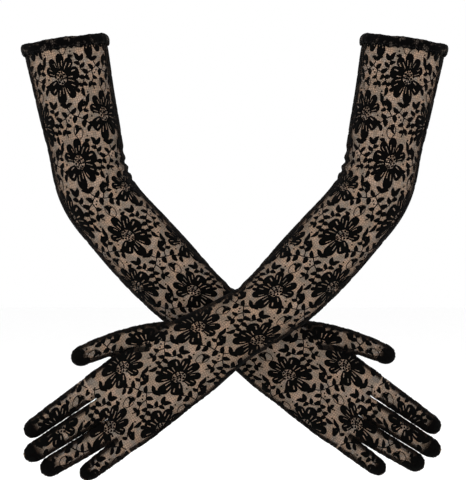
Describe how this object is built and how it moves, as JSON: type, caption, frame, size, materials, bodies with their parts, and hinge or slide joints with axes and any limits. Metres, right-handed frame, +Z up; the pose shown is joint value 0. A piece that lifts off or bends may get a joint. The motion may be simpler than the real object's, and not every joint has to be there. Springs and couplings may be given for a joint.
{
  "type": "opera gloves",
  "caption": "Elbow-length black floral lace gloves, a left and a right, shaped as worn with the arms crossed at the wrists.",
  "frame": {"origin": "midway between the two arm openings, where the wearer's arms hold the gloves up", "axes": "+Z up towards the shoulders, +X to the viewer's right, +Y away from the viewer, who sees the backs of the hands"},
  "size_m": [0.3998, 0.1123, 0.4196],
  "materials": {
    "lace": "stretch floral lace, near-black motifs on a fine net, semi-sheer",
    "doubled_lace": "the same lace doubled, dense and matt",
    "elastic": "covered braided elastic, matt",
    "sewing_thread": "spun polyester thread, slight sheen",
    "overlock_thread": "overlock thread over cut lace edges, matt"
  },
  "bodies": {
    "right_glove": {"right_glove_back_panel": "lace", "right_glove_palm_panel": "lace", "right_glove_cuff_hem": "doubled_lace", "right_glove_cuff_elastic": "elastic", "right_glove_hem_stitching": "sewing_thread", "right_glove_seam_outer_arm_to_little": "overlock_thread", "right_glove_seam_little_to_ring": "overlock_thread", "right_glove_seam_ring_to_middle": "overlock_thread", "right_glove_seam_middle_to_index": "overlock_thread", "right_glove_seam_index_to_thumb": "overlock_thread", "right_glove_seam_thumb_to_inner_arm": "overlock_thread"},
    "left_glove": {"left_glove_back_panel": "lace", "left_glove_palm_panel": "lace", "left_glove_cuff_hem": "doubled_lace", "left_glove_cuff_elastic": "elastic", "left_glove_hem_stitching": "sewing_thread", "left_glove_seam_outer_arm_to_little": "overlock_thread", "left_glove_seam_little_to_ring": "overlock_thread", "left_glove_seam_ring_to_middle": "overlock_thread", "left_glove_seam_middle_to_index": "overlock_thread", "left_glove_seam_index_to_thumb": "overlock_thread", "left_glove_seam_thumb_to_inner_arm": "overlock_thread"}
  },
  "joints": [
    {"name": "front_glove_apart", "type": "slide", "parent": "right_glove", "child": "left_glove", "axis": [0, -1, 0], "range_m": [0, 0.15]}
  ]
}
